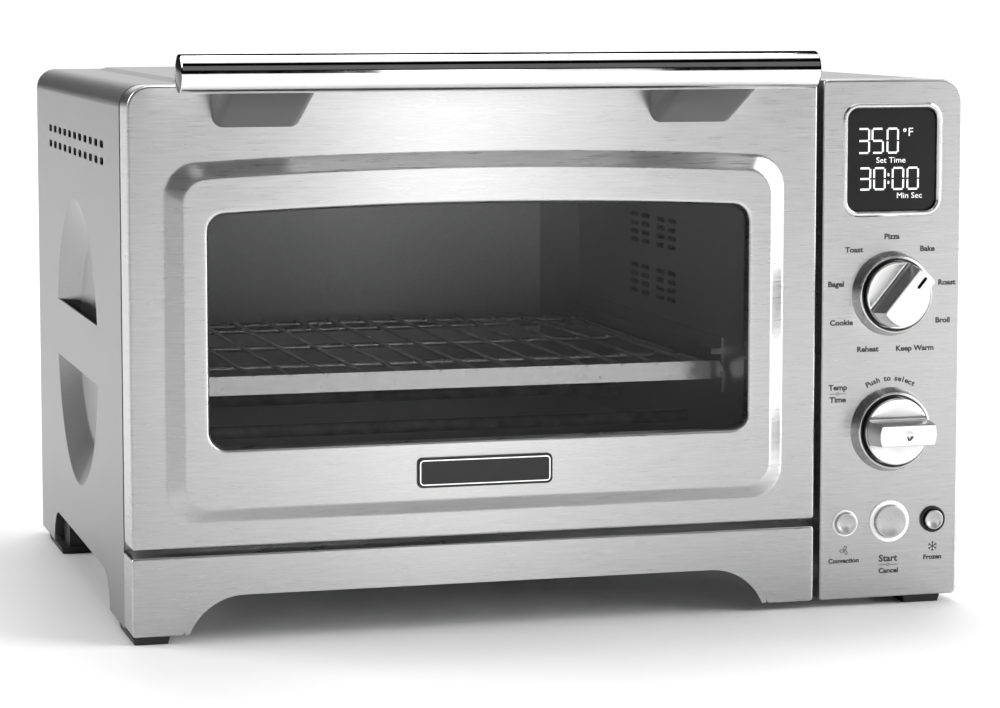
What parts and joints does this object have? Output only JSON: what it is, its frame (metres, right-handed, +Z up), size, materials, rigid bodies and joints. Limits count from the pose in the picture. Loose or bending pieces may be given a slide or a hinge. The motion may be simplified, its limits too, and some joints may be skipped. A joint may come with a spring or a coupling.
{
  "type": "toaster oven",
  "caption": "Countertop convection toaster oven: brushed steel casing, drop-down glass door with tube handle, sliding rack, side control panel with display, knobs and buttons.",
  "frame": {"origin": "on the table, under the middle of the oven's width and of its depth with the handle", "axes": "+Z up, +X to the right seen from the front (longest extent), +Y from the door towards the rear panel"},
  "size_m": [0.45, 0.4073, 0.2998],
  "materials": {
    "brushed_stainless": "brushed",
    "zinc_steel": "galvanised",
    "cavity_enamel": "dark non-stick coating",
    "chrome": "polished",
    "bracket_grey": "satin",
    "tinted_glass": "smoky tempered",
    "display_glass": "gloss black",
    "bezel_chrome": "satin",
    "black_plastic": "moulded",
    "light_ring_plastic": "translucent white",
    "circuit_board": "solder mask",
    "ceramic_white": "unglazed",
    "heater_sheath": "heat-darkened",
    "rubber": "moulded",
    "badge_black": "gloss",
    "fastener_steel": "zinc"
  },
  "bodies": {
    "casing": {"outer_shell": "brushed_stainless", "base_plate": "zinc_steel", "rear_panel": "zinc_steel", "cord_inlet": "black_plastic", "front_frame": "zinc_steel", "front_skirt": "brushed_stainless", "control_panel": "brushed_stainless", "feet": "rubber", "rear_screws": "fastener_steel", "cavity_left_wall": "cavity_enamel", "cavity_right_wall": "cavity_enamel", "cavity_top": "cavity_enamel", "cavity_floor": "cavity_enamel", "cavity_back_wall": "cavity_enamel", "rack_guides": "cavity_enamel", "lower_heaters": "heater_sheath", "upper_heaters": "heater_sheath", "heater_insulators": "ceramic_white", "temperature_probe": "fastener_steel", "heat_shield": "zinc_steel", "fan_housing": "zinc_steel", "fan_motor": "fastener_steel", "motor_mount": "zinc_steel", "power_board": "circuit_board", "control_board": "circuit_board", "display_bezel": "bezel_chrome", "display_lens": "display_glass", "display_module": "black_plastic", "knob_collars": "chrome", "encoders": "black_plastic", "button_rings": "light_ring_plastic", "button_board": "circuit_board", "hinge_brackets": "zinc_steel", "door_springs": "fastener_steel"},
    "door": {"door_outer_panel": "brushed_stainless", "door_glass": "tinted_glass", "glass_retainer": "zinc_steel", "door_inner_panel": "cavity_enamel", "badge_plate": "badge_black", "handle_bar": "chrome", "handle_end_caps": "chrome", "handle_brackets": "bracket_grey", "handle_screws": "fastener_steel", "hinge_pins": "fastener_steel", "hinge_ears": "zinc_steel", "stay_arms": "zinc_steel", "door_screws": "fastener_steel"},
    "rack": {"wire_rack": "chrome"},
    "crumb_tray": {"crumb_tray": "cavity_enamel"},
    "convection_fan": {"fan_wheel": "fastener_steel", "motor_shaft": "fastener_steel", "cooling_fan": "fastener_steel"},
    "function_knob": {"function_knob": "chrome", "function_shaft": "fastener_steel"},
    "adjust_plunger": {"adjust_thrust_plate": "black_plastic"},
    "adjust_knob": {"adjust_knob": "chrome", "adjust_shaft": "fastener_steel"},
    "convection_button": {"convection_button": "chrome"},
    "start_button": {"start_button": "chrome"},
    "frozen_button": {"frozen_button": "chrome"}
  },
  "joints": [
    {"name": "door_hinge", "type": "hinge", "parent": "casing", "child": "door", "pos_m": [-0.04135, -0.14133, 0.056], "axis": [1, 0, 0], "range_deg": [0, 86], "stiffness_Nm_per_rad": 0.45, "springref_deg": -57.3},
    {"name": "rack_slide", "type": "slide", "parent": "casing", "child": "rack", "axis": [0, -1, 0], "range_m": [0, 0.1221]},
    {"name": "crumb_tray_slide", "type": "slide", "parent": "casing", "child": "crumb_tray", "axis": [0, -1, 0], "range_m": [0, 0.0365]},
    {"name": "fan_spin", "type": "hinge", "parent": "casing", "child": "convection_fan", "pos_m": [0.145, 0.02368, 0.16], "axis": [1, 0, 0], "continuous": true},
    {"name": "function_turn", "type": "hinge", "parent": "casing", "child": "function_knob", "pos_m": [0.1854, -0.14833, 0.1687], "axis": [0, 1, 0], "continuous": true},
    {"name": "adjust_push", "type": "slide", "parent": "casing", "child": "adjust_plunger", "axis": [0, 1, 0], "range_m": [0, 0.001], "stiffness_N_per_m": 600, "springref_m": -0.001},
    {"name": "adjust_turn", "type": "hinge", "parent": "adjust_plunger", "child": "adjust_knob", "pos_m": [0.1854, -0.14833, 0.0954], "axis": [0, 1, 0], "continuous": true},
    {"name": "convection_button_press", "type": "slide", "parent": "casing", "child": "convection_button", "axis": [0, 1, 0], "range_m": [0, 0.0012], "stiffness_N_per_m": 300, "springref_m": -0.001},
    {"name": "start_button_press", "type": "slide", "parent": "casing", "child": "start_button", "axis": [0, 1, 0], "range_m": [0, 0.0012], "stiffness_N_per_m": 300, "springref_m": -0.001},
    {"name": "frozen_button_press", "type": "slide", "parent": "casing", "child": "frozen_button", "axis": [0, 1, 0], "range_m": [0, 0.0012], "stiffness_N_per_m": 300, "springref_m": -0.001}
  ],
  "couplings": [
    {"joint": "rack_slide", "follows": "door_hinge", "m_per_rad": 0.08},
    {"joint": "crumb_tray_slide", "follows": "door_hinge", "m_per_rad": 0.023}
  ]
}
